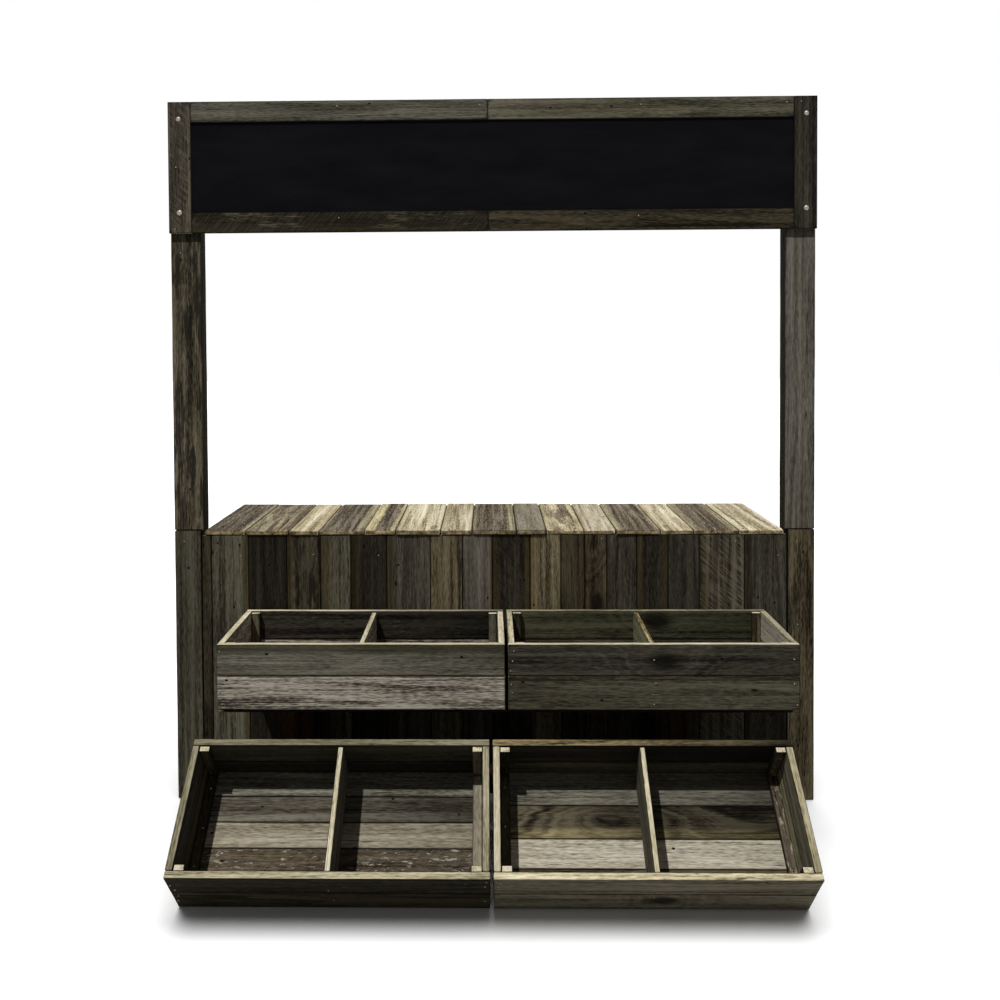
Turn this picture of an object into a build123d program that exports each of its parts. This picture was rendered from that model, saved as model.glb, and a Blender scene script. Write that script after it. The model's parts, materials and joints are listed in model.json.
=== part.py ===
from build123d import *
import os
from math import cos, radians, sin

# Market stall of recycled fence palings: a counter between two posts, a chalkboard header,
# and a low bench in front that carries two crates and holds up two leaning ones.
# +X is the customer's right, +Y runs from the customer to the seller, +Z is up.
os.makedirs("parts", exist_ok=True)

# Overall sizes
overall_width = 1806
post_height = 1975
counter_height = 770
counter_depth = 461

# Timber stock and the joints between boards
paling_thickness = 14
board_gap = 1.5
joint_gap = 1

# Posts: a stud with one facing board below the counter top and a wider one above it
post_width = 85
post_depth = 35
lower_facing_width = 75

# Header: a chalkboard panel set into a frame of palings
header_height = 366
chalkboard_thickness = 9
stile_width = 64
top_rail_width = 58
bottom_rail_width = 57
rail_joint_share = 0.495

# Counter: top and cladding boards, left to right, and the frame that they are nailed to
top_overhang = 4
facing_clearance = 3
cladding_foot = 20
frame_width = 70
frame_thickness = 35
bottom_rail_rise = 60
top_board_shares = (
    0.072, 0.076, 0.052, 0.078, 0.054, 0.078, 0.054, 0.077,
    0.051, 0.065, 0.055, 0.076, 0.057, 0.077, 0.078,
)
front_board_shares = (
    0.016, 0.064, 0.066, 0.058, 0.052, 0.062, 0.075, 0.055, 0.051,
    0.065, 0.052, 0.041, 0.037, 0.051, 0.053, 0.053, 0.077, 0.072,
)
side_board_shares = (0.21, 0.19, 0.22, 0.18, 0.20)

# Crates: two long sides over two ends, a boarded floor, a divider and corner battens
crate_board_thickness = 18
crate_width = 721
crate_depth = 326
crate_height = 165
crate_gap = 7
floor_rise = 18
divider_drop = 4
batten_width = 24
floor_batten_thickness = 14
batten_drop = 3
crate_course_shares = (0.515, 0.485)
left_floor_shares = (0.355, 0.21, 0.215, 0.22)
right_floor_shares = (0.20, 0.235, 0.275, 0.29)

# Bench: a shelf on two pairs of legs, set against the counter
shelf_margin = 6
shelf_depth = 325
shelf_height = 385
shelf_overhang = 25
cleat_width = 19
bench_leg_width = 50
bench_leg_depth = 45
back_leg_setback = 15
bearer_height = 45
bench_rail_height = 70
bench_rail_thickness = 20
front_rail_lip = 12
back_rail_rise = 60
leg_place_shares = (0.12, 0.80)
shelf_board_shares = (0.34, 0.33, 0.33)

# Where the crates stand: the upper pair on the shelf, the lower pair tipped against the bench
crate_setback = 22
upper_crate_shift = 32
lower_crate_shift = -8
lower_crate_tilt = radians(40.6)

# Places worked out from the sizes
bench_reach = shelf_depth - shelf_overhang
crate_run = crate_depth * cos(lower_crate_tilt)
crate_rise = crate_depth * sin(lower_crate_tilt)
lower_reach = bench_reach + crate_run + crate_height * sin(lower_crate_tilt)
front_y = (lower_reach - counter_depth) / 2
post_x = (overall_width - post_width) / 2
top_width = overall_width - 2 * post_width
cladding_width = overall_width - 2 * lower_facing_width - 2 * facing_clearance
frame_top = counter_height - paling_thickness
side_x = top_width / 2 - paling_thickness
leg_x = side_x - frame_thickness / 2
header_bottom = post_height - header_height
frame_front_y = front_y + paling_thickness
back_y = front_y + counter_depth
leg_top = shelf_height - paling_thickness
shelf_length = 2 * (crate_width + shelf_margin) + crate_gap
shelf_left = upper_crate_shift - shelf_length / 2


def save(piece, name):
    """Label a finished piece and write it as its own STEP file."""
    piece.part.label = name
    export_step(piece.part, f"parts/{name}.step")


def spans(shares, length, gap):
    """Start and width of each board in a row that fills a length, with gaps between neighbours."""
    room = length - gap * (len(shares) - 1)
    row, start = [], 0
    for share in shares:
        width = room * share / sum(shares)
        row.append((start, width))
        start += width + gap
    return row


def upright_plane(y):
    """Plane that faces the customer at a given depth: sketch x is X, sketch y is Z."""
    return Plane.XZ.offset(-y)


def block(left, low, width, height):
    """Rectangle in the open sketch, given by its lower left corner."""
    with Locations((left, low)):
        Rectangle(width, height, align=(Align.MIN, Align.MIN))


# Posts
for side, sign in (("left", -1), ("right", 1)):
    with BuildPart() as post:
        with BuildSketch():
            with Locations((sign * post_x, frame_front_y + post_depth / 2)):
                Rectangle(post_width, post_depth)
        extrude(amount=post_height)
    save(post, f"{side}_post")

    with BuildPart() as facing:
        with BuildSketch(upright_plane(frame_front_y)):
            lower_height = counter_height - joint_gap
            with Locations((sign * (overall_width - lower_facing_width) / 2, lower_height / 2)):
                Rectangle(lower_facing_width, lower_height)
            with Locations((sign * post_x, (counter_height + post_height) / 2)):
                Rectangle(post_width, post_height - counter_height)
        extrude(amount=paling_thickness)
    save(facing, f"{side}_post_facing")

# Header
header_face = upright_plane(front_y)
for side, left in (("left", -overall_width / 2), ("right", overall_width / 2 - stile_width)):
    with BuildPart() as stile:
        with BuildSketch(header_face):
            block(left, header_bottom, stile_width, header_height)
        extrude(amount=paling_thickness)
    save(stile, f"header_{side}_stile")

rail_room = overall_width - 2 * stile_width
panel_height = header_height - top_rail_width - bottom_rail_width
with BuildPart() as chalkboard:
    with BuildSketch(header_face):
        block(-rail_room / 2, header_bottom + bottom_rail_width, rail_room, panel_height)
    extrude(amount=chalkboard_thickness)
save(chalkboard, "chalkboard")

header_rails = (
    ("top", post_height - top_rail_width, top_rail_width),
    ("bottom", header_bottom, bottom_rail_width),
)
for level, low, width in header_rails:
    with BuildPart() as rail:
        with BuildSketch(header_face):
            for start, length in spans((rail_joint_share, 1 - rail_joint_share), rail_room, joint_gap):
                block(start - rail_room / 2, low, length, width)
        extrude(amount=paling_thickness)
    save(rail, f"header_{level}_rail")

# Counter top: boards from front to back between the posts
with BuildPart() as counter_top:
    with BuildSketch(Plane.XY.offset(frame_top)):
        for start, width in spans(top_board_shares, top_width, board_gap):
            block(start - top_width / 2, front_y - top_overhang, width, counter_depth + top_overhang)
    extrude(amount=paling_thickness)
save(counter_top, "counter_top")

# Counter cladding: upright palings on the front and both sides
with BuildPart() as front_cladding:
    with BuildSketch(upright_plane(frame_front_y)):
        for start, width in spans(front_board_shares, cladding_width, board_gap):
            block(start - cladding_width / 2, cladding_foot, width, frame_top - cladding_foot)
    extrude(amount=paling_thickness)
save(front_cladding, "counter_front_cladding")

side_depth = counter_depth - paling_thickness
for side, left in (("left", -top_width / 2), ("right", side_x)):
    with BuildPart() as side_cladding:
        with BuildSketch(Plane.YZ.offset(left)):
            for start, width in spans(side_board_shares, side_depth, board_gap):
                block(frame_front_y + start, cladding_foot, width, frame_top - cladding_foot)
        extrude(amount=paling_thickness)
    save(side_cladding, f"counter_{side}_cladding")

# Counter frame: legs in the corners, rails between them
leg_rows = (("front", frame_front_y), ("back", back_y - frame_width))
for row, low in leg_rows:
    with BuildPart() as counter_legs:
        with BuildSketch():
            for x in (-leg_x, leg_x):
                block(x - frame_thickness / 2, low, frame_thickness, frame_width)
        extrude(amount=frame_top)
    save(counter_legs, f"counter_{row}_legs")

rail_length = 2 * leg_x - frame_thickness
top_rail_z = frame_top - frame_width
with BuildPart() as front_rails:
    with BuildSketch(upright_plane(frame_front_y + frame_thickness)):
        for low in (bottom_rail_rise, top_rail_z):
            block(-rail_length / 2, low, rail_length, frame_width)
    extrude(amount=frame_thickness)
save(front_rails, "counter_front_rails")

with BuildPart() as back_rail:
    with BuildSketch(upright_plane(back_y)):
        block(-rail_length / 2, top_rail_z, rail_length, frame_width)
    extrude(amount=frame_thickness)
save(back_rail, "counter_back_rail")

with BuildPart() as side_rails:
    for left in (-side_x, side_x - frame_thickness):
        with BuildSketch(Plane.YZ.offset(left)):
            for low in (bottom_rail_rise, top_rail_z):
                block(frame_front_y + frame_width, low, side_depth - 2 * frame_width, frame_width)
        extrude(amount=frame_thickness)
save(side_rails, "counter_side_rails")

# Bench: shelf boards between end cleats, on legs that stand under the shelf
shelf_y = front_y - shelf_depth
with BuildPart() as bench_shelf:
    with BuildSketch(Plane.XY.offset(leg_top)):
        for start, width in spans(shelf_board_shares, shelf_depth, board_gap):
            block(shelf_left + cleat_width, shelf_y + start, shelf_length - 2 * cleat_width, width)
    extrude(amount=paling_thickness)
save(bench_shelf, "bench_shelf")

with BuildPart() as bench_cleats:
    with BuildSketch(Plane.XY.offset(leg_top)):
        for left in (shelf_left, shelf_left + shelf_length - cleat_width):
            block(left, shelf_y, cleat_width, shelf_depth)
    extrude(amount=paling_thickness)
save(bench_cleats, "bench_cleats")

bench_front_y = front_y - bench_reach
bench_back_y = front_y - back_leg_setback
leg_lefts = [shelf_left + share * shelf_length - bench_leg_width / 2 for share in leg_place_shares]
for row, low in (("front", bench_front_y), ("back", bench_back_y - bench_leg_depth)):
    with BuildPart() as bench_legs:
        with BuildSketch():
            for left in leg_lefts:
                block(left, low, bench_leg_width, bench_leg_depth)
        extrude(amount=leg_top)
    save(bench_legs, f"bench_{row}_legs")

bearer_y = bench_front_y + bench_leg_depth
with BuildPart() as bench_bearers:
    with BuildSketch(Plane.XY.offset(leg_top - bearer_height)):
        for left in leg_lefts:
            block(left, bearer_y, bench_leg_width, bench_back_y - bench_leg_depth - bearer_y)
    extrude(amount=bearer_height)
save(bench_bearers, "bench_bearers")

bench_rail_left = leg_lefts[0] + bench_leg_width
bench_rail_length = leg_lefts[-1] - bench_rail_left
bench_rails = (
    ("front", bench_front_y + bench_rail_thickness, crate_rise + front_rail_lip - bench_rail_height),
    ("back", bench_back_y, back_rail_rise),
)
for row, rear, low in bench_rails:
    with BuildPart() as bench_rail:
        with BuildSketch(upright_plane(rear)):
            block(bench_rail_left, low, bench_rail_length, bench_rail_height)
        extrude(amount=bench_rail_thickness)
    save(bench_rail, f"bench_{row}_rail")


def crate(name, base, floor_shares):
    """One crate on its own base plane, whose origin is the front left corner of its underside."""
    wall = crate_board_thickness
    inner_width = crate_width - 2 * wall
    inner_depth = crate_depth - 2 * wall
    back = crate_depth - wall
    right = crate_width - wall
    floor_top = floor_rise + paling_thickness
    courses = spans(crate_course_shares, crate_height, joint_gap)

    with BuildPart() as sides:
        for low, height in courses:
            with BuildSketch(base.offset(low)):
                for near in (0, back):
                    block(0, near, crate_width, wall)
            extrude(amount=height)
    save(sides, f"{name}_sides")

    with BuildPart() as ends:
        for low, height in courses:
            with BuildSketch(base.offset(low)):
                for left in (0, right):
                    block(left, wall, wall, inner_depth)
            extrude(amount=height)
    save(ends, f"{name}_ends")

    with BuildPart() as crate_floor:
        with BuildSketch(base.offset(floor_rise)):
            for start, width in spans(floor_shares, inner_depth, joint_gap):
                block(wall, wall + start, inner_width, width)
        extrude(amount=paling_thickness)
    save(crate_floor, f"{name}_floor")

    with BuildPart() as divider:
        with BuildSketch(base.offset(floor_top)):
            block((crate_width - paling_thickness) / 2, wall, paling_thickness, inner_depth)
        extrude(amount=crate_height - floor_top - divider_drop)
    save(divider, f"{name}_divider")

    batten_lefts = (wall, right - batten_width)
    flat_start = wall + paling_thickness + joint_gap
    with BuildPart() as battens:
        with BuildSketch(base.offset(floor_top)):
            for left in batten_lefts:
                for near in (wall, back - paling_thickness):
                    block(left, near, batten_width, paling_thickness)
        extrude(amount=crate_height - floor_top - batten_drop)
        with BuildSketch(base.offset(floor_top)):
            for left in batten_lefts:
                block(left, flat_start, batten_width, crate_depth - 2 * flat_start)
        extrude(amount=floor_batten_thickness)
    save(battens, f"{name}_battens")


# Crates: two level on the shelf, two tipped forward with their backs against the bench
upper_y = front_y - crate_setback - crate_depth
lower_y = bench_front_y - crate_run
tipped = (0, -sin(lower_crate_tilt), cos(lower_crate_tilt))
crate_rows = (
    ("upper", upper_crate_shift, upper_y, shelf_height, (0, 0, 1)),
    ("lower", lower_crate_shift, lower_y, 0, tipped),
)
crate_places = (
    ("left", -crate_gap / 2 - crate_width, left_floor_shares),
    ("right", crate_gap / 2, right_floor_shares),
)
for row, shift, y, z, up in crate_rows:
    for side, left, shares in crate_places:
        crate(f"{row}_{side}_crate", Plane((shift + left, y, z), x_dir=(1, 0, 0), z_dir=up), shares)
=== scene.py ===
"""Looks of the market stall: weathered palings, chalkboard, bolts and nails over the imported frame."""
import json
import logging
import math
from collections.abc import Callable, Sequence
from dataclasses import dataclass, field, replace
from enum import Enum
from functools import partial

import bpy
import numpy as np
from mathutils import Matrix, Vector

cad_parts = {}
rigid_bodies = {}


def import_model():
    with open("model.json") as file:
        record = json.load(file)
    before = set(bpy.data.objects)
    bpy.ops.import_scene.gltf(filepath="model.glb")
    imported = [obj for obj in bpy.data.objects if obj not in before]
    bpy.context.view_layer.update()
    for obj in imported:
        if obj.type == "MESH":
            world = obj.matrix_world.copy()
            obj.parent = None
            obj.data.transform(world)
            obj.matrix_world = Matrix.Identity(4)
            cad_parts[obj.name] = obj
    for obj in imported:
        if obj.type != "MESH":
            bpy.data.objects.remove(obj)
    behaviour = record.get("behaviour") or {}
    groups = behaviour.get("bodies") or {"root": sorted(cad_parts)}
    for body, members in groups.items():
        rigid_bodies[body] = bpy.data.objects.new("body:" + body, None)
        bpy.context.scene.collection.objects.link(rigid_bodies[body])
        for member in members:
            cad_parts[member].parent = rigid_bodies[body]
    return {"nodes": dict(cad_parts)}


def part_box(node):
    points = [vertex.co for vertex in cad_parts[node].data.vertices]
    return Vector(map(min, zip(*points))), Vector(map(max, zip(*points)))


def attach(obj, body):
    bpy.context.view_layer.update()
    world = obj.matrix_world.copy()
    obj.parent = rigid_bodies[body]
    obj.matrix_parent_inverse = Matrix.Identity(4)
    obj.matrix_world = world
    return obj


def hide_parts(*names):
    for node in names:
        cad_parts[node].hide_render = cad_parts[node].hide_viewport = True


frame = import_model()

LOG = logging.getLogger("market_stall")
MM = 0.001
BODY = "root"
Node = bpy.types.Node
Socket = bpy.types.NodeSocket
Adder = Callable[..., Node]
Pair = tuple[float, float]

# What a timber mesh tells its finishes at each point
ATTRIBUTES = ("grain", "edges", "lot", "eye")

# Cells of the noises in timber, along and across the fibres. Real fibres and pores are finer than a pixel, so
# they are drawn a few millimetres wide
FIBRE_MM = (200, 3.4)
PORE_MM = (20, 2.8)
BAND_MM = (1300, 15)
PATCH_MM = (420, 36)
PEEL_MM = (150, 30)
SPECK_MM = (30, 8)
CHECK_MM = (520, 15)

# Cells that have at most one mark each, along and across the fibres, and half the width of the mark
KNOT_CELL_MM, KNOT_REACH_MM = (260, 130), 4.0
HOLE_CELL_MM, HOLE_REACH_MM = (170, 110), 3.0
STAIN_CELL_MM, STAIN_REACH_MM = (520, 110), 8.0
HOLE_SHARE = 0.3

# A large knot's heart, its rim, how far fibres fray that, and how far off the rings turn aside for it
HEART_MM, FRAYED_MM, FRAY_MM, SWELL_MM = 20, 38, 16, 90

# Width of a growth ring, how often it changes in a metre of the log, and how far noise, the log's taper and a
# knot move the rings
RING_MM, RING_CHANGES = 9, 1.5
RING_WARP_M, RING_TAPER, RING_SWELL_M = 0.035, 0.025, 0.06

# The saw crossed the grain at about 41 degrees. A mark and the gap beside it take a cell each, of this size
# across and along the mark
SAW_WAYS = ((0.755, -0.656, 0.0), (0.656, 0.755, 0.0))
SAW_MM = (4, 70)

# How far the rim of a covered strip drifts, and half the width of its change of colour
DRIFT_MM, SOFT_MM = 10, 5

# How far from a board's rims the soil on them begins, and where it is full
SOIL_MM = (3.5, 0.5)

# Height of the fibres, and the share of the broad patches in a finish's tone
RELIEF_MM = 1.0
PATCH_SHARE = 0.1


def linear(code: str) -> tuple[float, float, float, float]:
    """Turn an sRGB hex value into a linear colour.

    Args:
        code: Six hex digits.

    Returns:
        Linear red, green, blue and an alpha of one.
    """
    parts = [int(code[i:i + 2], 16) / 255 for i in (0, 2, 4)]
    return (*(p / 12.92 if p <= 0.04045 else ((p + 0.055) / 1.055) ** 2.4 for p in parts), 1.0)


def add_node(tree: bpy.types.NodeTree, kind: str, inputs: dict | None = None, **settings) -> Node:
    """Add a node with its settings, and set or link its inputs.

    Args:
        tree: The node tree.
        kind: The node's type name.
        inputs: Input name or index to a value, a socket, or a node whose first output is meant.
        settings: Attributes of the node.

    Returns:
        The new node.
    """
    node = tree.nodes.new(kind)
    for name, value in settings.items():
        setattr(node, name, value)
    for key, value in (inputs or {}).items():
        if isinstance(value, Node):
            tree.links.new(value.outputs[0], node.inputs[key])
        elif isinstance(value, Socket):
            tree.links.new(value, node.inputs[key])
        else:
            node.inputs[key].default_value = value
    return node


def empty_material(name: str) -> tuple[bpy.types.Material, Adder]:
    """Start a material with no nodes.

    Args:
        name: The finish's name.

    Returns:
        The material, and the function that adds nodes to it.
    """
    made = bpy.data.materials.new(name)
    made.use_nodes = True
    made.node_tree.nodes.clear()
    return made, partial(add_node, made.node_tree)


class Grain:
    """What the patterns of a timber finish read, and the two noises that most of them share.

    place is the place in the log, rims the distances beyond the two strips and from the nearest rim, and eye
    the place from the board's own knot, all in metres. lot is the board's shade. fibre frays the patterns'
    rims, and patch says where on the board they are.
    """

    def __init__(self, add: Adder) -> None:
        """Read the board's attributes and make the shared noises.

        Args:
            add: Adds a node to the finish.
        """
        self.add = add
        self.place, edges, self.lot, self.eye = (
            add("ShaderNodeAttribute", attribute_name=name).outputs["Vector"] for name in ATTRIBUTES
        )
        self.rims = add("ShaderNodeSeparateXYZ", {0: edges}).outputs
        self.fibre = self.noise(FIBRE_MM, 3, 0.65)
        self.patch = self.noise(PATCH_MM, 5)

    def in_cells(self, cell_mm: Pair) -> Node:
        """The place in the log, counted in cells of a size along and across the grain."""
        scale = [1 / (size * MM) for size in (*cell_mm, cell_mm[1])]
        return self.add("ShaderNodeMapping", {"Vector": self.place, "Scale": scale})

    def noise(self, cell_mm: Pair, detail: float, roughness: float = 0.6) -> Node:
        """Noise drawn out along the grain.

        Args:
            cell_mm: Size of a cell along and across the grain.
            detail: Octaves of finer noise.
            roughness: How strong those are.

        Returns:
            The noise node, whose first output is the value.
        """
        return self.add("ShaderNodeTexNoise", {
            "Vector": self.in_cells(cell_mm), "Scale": 1.0, "Detail": detail, "Roughness": roughness,
        })

    def spots(self, cell_mm: Pair, share: float, reach_mm: float) -> Node:
        """Spots with frayed rims, at most one in each cell of the board.

        Args:
            cell_mm: Size of a cell along and across the grain, to which the spot's shape is in proportion.
            share: Share of the cells that have a spot.
            reach_mm: Half the width of a spot across the grain.

        Returns:
            A node that gives 1 in the spots.
        """
        add = self.add
        cells = add("ShaderNodeTexVoronoi", {"Vector": self.in_cells(cell_mm), "Scale": 1.0},
                    voronoi_dimensions="2D")
        chance = add("ShaderNodeSeparateColor", {0: cells.outputs["Color"]})
        chosen = add("ShaderNodeMath", {0: chance, 1: 1 - share}, operation="GREATER_THAN")
        reach = reach_mm / cell_mm[1]
        frayed = add("ShaderNodeMath", {0: self.fibre, 1: reach, 2: cells.outputs["Distance"]},
                     operation="MULTIPLY_ADD")
        spot = add("ShaderNodeMapRange", {
            "Value": frayed, "From Min": 1.6 * reach, "From Max": 1.1 * reach,
        }, interpolation_type="SMOOTHSTEP")
        return add("ShaderNodeMath", {0: spot, 1: chosen}, operation="MULTIPLY")


@dataclass(frozen=True)
class TimberFinish:
    """Hardwood paling, rough sawn and left out for years: silvered fibres over brown wood.

    The eye reads long bands and fine fibres, a few growth rings, a dark film that has worn off in ragged
    patches, and browner strips along the edges that the next paling of the old fence had covered. All of it
    follows the grain, so every pattern reads the board's own grain coordinates.

    pale, body and dark are the silvered fibres, brown the wood under them, film an old stain, strip the
    covered edges, fleck old paint or scratches, and soil the dirt in every hollow. Each share says how much
    shows. knot_drawn is how many times longer than wide a large knot is, and knot_dark how dark its heart.
    """

    name: str
    pale: str
    body: str
    dark: str
    brown: str
    brown_share: float = 0.3
    film: str = ""
    film_share: float = 0.0
    strip: str = "574c30"
    knot_share: float = 0.1
    knot_drawn: float = 2.0
    knot_dark: float = 0.88
    stain_share: float = 0.2
    fleck: str = ""
    fleck_share: float = 0.0
    saw_share: float = 0.0
    soil: str = "0c0a08"
    soil_share: float = 0.85
    streak_share: float = 0.16
    stipple_share: float = 0.24
    ring_share: float = 0.2
    contrast: float = 1.0
    roughness: float = 0.86

    def material(self) -> bpy.types.Material:
        """Build the finish as a node material, or find it if it is there already.

        Returns:
            The material.
        """
        found = bpy.data.materials.get(self.name)
        if found:
            return found
        made, add = empty_material(self.name)
        grain = Grain(add)
        pore = grain.noise(PORE_MM, 1)
        band = grain.noise(BAND_MM, 3, 0.55)
        knot, swell = self.knots(grain)
        rings = self.growth_rings(grain, swell)
        steps = self.tone(add, {
            grain.fibre: self.streak_share,
            pore: self.stipple_share,
            rings: self.ring_share,
            grain.patch: PATCH_SHARE,
            band: 1 - PATCH_SHARE - self.streak_share - self.stipple_share - self.ring_share,
        })
        colour = self.silvered(grain, steps)
        colour = self.filmed(grain, colour)
        colour = self.stripped(grain, colour, steps)
        colour = self.sawn(grain, colour)
        colour = self.flecked(grain, colour)
        dirt = self.dirt(grain, knot)
        colour = add("ShaderNodeMix", {0: dirt, 6: colour, 7: linear(self.soil)}, data_type="RGBA").outputs[2]
        colour = add("ShaderNodeVectorMath", {0: colour, 1: grain.lot}, operation="MULTIPLY")
        # Fibres and rings stand up, and the dirt lies in the hollows
        ridge = add("ShaderNodeMath", {0: rings, 1: 0.35, 2: grain.fibre}, operation="MULTIPLY_ADD")
        height = add("ShaderNodeMath", {0: dirt, 1: -0.8, 2: ridge}, operation="MULTIPLY_ADD")
        bump = add("ShaderNodeBump", {"Strength": 0.6, "Distance": RELIEF_MM * MM, "Height": height})
        shader = add("ShaderNodeBsdfPrincipled", {
            "Base Color": colour, "Roughness": self.roughness, "Specular IOR Level": 0.06, "Normal": bump,
        })
        add("ShaderNodeOutputMaterial", {"Surface": shader})
        return made

    def knots(self, grain: Grain) -> tuple[Node, Node]:
        """Knots: the board's own large one where it has one, and small ones here and there.

        Args:
            grain: The grain that they are in.

        Returns:
            A node that gives 1 in the knots, and one that rises towards the large knot from some way off.
        """
        add = grain.add
        small = grain.spots(KNOT_CELL_MM, self.knot_share, KNOT_REACH_MM)
        drawn = add("ShaderNodeMapping", {"Vector": grain.eye, "Scale": (1 / self.knot_drawn, 1.0, 0.0)})
        far = add("ShaderNodeVectorMath", {0: drawn}, operation="LENGTH").outputs["Value"]
        swell = add("ShaderNodeMapRange", {
            "Value": far, "From Min": SWELL_MM * MM, "From Max": 0.0,
        }, interpolation_type="SMOOTHSTEP")
        far = add("ShaderNodeMath", {0: grain.fibre, 1: FRAY_MM * MM, 2: far}, operation="MULTIPLY_ADD")
        large = add("ShaderNodeMapRange", {
            "Value": far, "From Min": FRAYED_MM * MM, "From Max": HEART_MM * MM,
        })
        return add("ShaderNodeMath", {0: small, 1: large}, operation="MAXIMUM"), swell

    def growth_rings(self, grain: Grain, swell: Node) -> Node:
        """Growth rings about the heart of the log, turned aside by knots.

        Args:
            grain: The grain that they are in.
            swell: Rises towards a large knot, which the rings run round.

        Returns:
            A noise that runs with the rings.
        """
        add = grain.add
        place = add("ShaderNodeSeparateXYZ", {0: grain.place}).outputs
        flat = add("ShaderNodeCombineXYZ", {1: place[1], 2: place[2]})
        radius = add("ShaderNodeVectorMath", {0: flat}, operation="LENGTH").outputs["Value"]
        for bend, size in ((grain.patch, RING_WARP_M), (place[0], RING_TAPER), (swell, RING_SWELL_M)):
            radius = add("ShaderNodeMath", {0: bend, 1: size, 2: radius}, operation="MULTIPLY_ADD")
        wound = add("ShaderNodeCombineXYZ", {0: radius, 1: place[0]})
        spaced = add("ShaderNodeMapping", {"Vector": wound, "Scale": (1 / (RING_MM * MM), RING_CHANGES, 1.0)})
        return add("ShaderNodeTexNoise", {"Vector": spaced, "Scale": 1.0, "Detail": 3.0},
                   noise_dimensions="2D")

    def tone(self, add: Adder, shares: dict[Node, float]) -> Node:
        """Blend the noises of the grain and stretch them to the finish's contrast.

        Args:
            add: Adds a node to the finish.
            shares: Each noise with its share of the tone.

        Returns:
            A node from 0 in the darkest to 1 in the palest fibres.
        """
        total: Node | float = 0.0
        for noise, share in shares.items():
            total = add("ShaderNodeMath", {0: noise, 1: share, 2: total}, operation="MULTIPLY_ADD")
        spread = 0.085 / self.contrast
        return add("ShaderNodeMapRange", {"Value": total, "From Min": 0.5 - spread, "From Max": 0.5 + spread})

    def silvered(self, grain: Grain, steps: Node) -> Socket:
        """The weathered surface, from dark to pale, with brown patches.

        Args:
            grain: The grain that it follows.
            steps: The tone of the grain.

        Returns:
            The colour.
        """
        add = grain.add
        ramp = add("ShaderNodeValToRGB", {0: steps})
        ramp.color_ramp.elements[0].color = linear(self.dark)
        ramp.color_ramp.elements[1].color = linear(self.pale)
        ramp.color_ramp.elements.new(0.5).color = linear(self.body)
        ragged = add("ShaderNodeMath", {0: grain.fibre, 1: -0.5, 2: grain.patch}, operation="MULTIPLY_ADD")
        share = add("ShaderNodeMapRange", {
            "Value": ragged, "From Min": 0.28, "From Max": 0.14, "To Max": self.brown_share,
        }, interpolation_type="SMOOTHSTEP")
        brown = add("ShaderNodeMix", {0: steps, 6: linear(self.dark), 7: linear(self.brown)},
                    data_type="RGBA")
        return add("ShaderNodeMix", {0: share, 6: ramp, 7: brown.outputs[2]}, data_type="RGBA").outputs[2]

    def filmed(self, grain: Grain, colour: Socket) -> Socket:
        """The dark film of an old stain, worn off in ragged patches.

        Args:
            grain: The grain that it wears along.
            colour: The wood under it.

        Returns:
            The colour.
        """
        if not self.film:
            return colour
        add = grain.add
        peel = grain.noise(PEEL_MM, 4)
        ragged = add("ShaderNodeMath", {0: grain.fibre, 1: 0.5, 2: peel}, operation="MULTIPLY_ADD")
        limit = 0.75 + (0.5 - self.film_share) * 0.36
        share = add("ShaderNodeMapRange", {
            "Value": ragged, "From Min": limit - 0.04, "From Max": limit + 0.04, "To Max": 0.88,
        })
        return add("ShaderNodeMix", {0: share, 6: colour, 7: linear(self.film)}, data_type="RGBA").outputs[2]

    def stripped(self, grain: Grain, colour: Socket, steps: Node) -> Socket:
        """Strips along the edges in the colour of wood that another paling kept from the weather.

        Args:
            grain: The grain, with the distances beyond the strips.
            colour: The weathered wood.
            steps: The tone of the grain.

        Returns:
            The colour.
        """
        add = grain.add
        drift = add("ShaderNodeMath", {0: grain.patch, 1: DRIFT_MM * MM, 2: -DRIFT_MM / 2 * MM},
                    operation="MULTIPLY_ADD")
        beyond = add("ShaderNodeMath", {0: grain.rims[0], 1: grain.rims[1]}, operation="MINIMUM")
        beyond = add("ShaderNodeMath", {0: beyond, 1: drift}, operation="ADD")
        share = add("ShaderNodeMapRange", {
            "Value": beyond, "From Min": SOFT_MM * MM, "From Max": -SOFT_MM * MM, "To Max": 0.75,
        })
        wood = add("ShaderNodeMix", {0: steps, 6: linear(self.dark), 7: linear(self.strip)}, data_type="RGBA")
        kept = add("ShaderNodeMix", {0: 0.25, 6: wood.outputs[2], 7: linear(self.strip)}, data_type="RGBA")
        return add("ShaderNodeMix", {0: share, 6: colour, 7: kept.outputs[2]}, data_type="RGBA").outputs[2]

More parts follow.
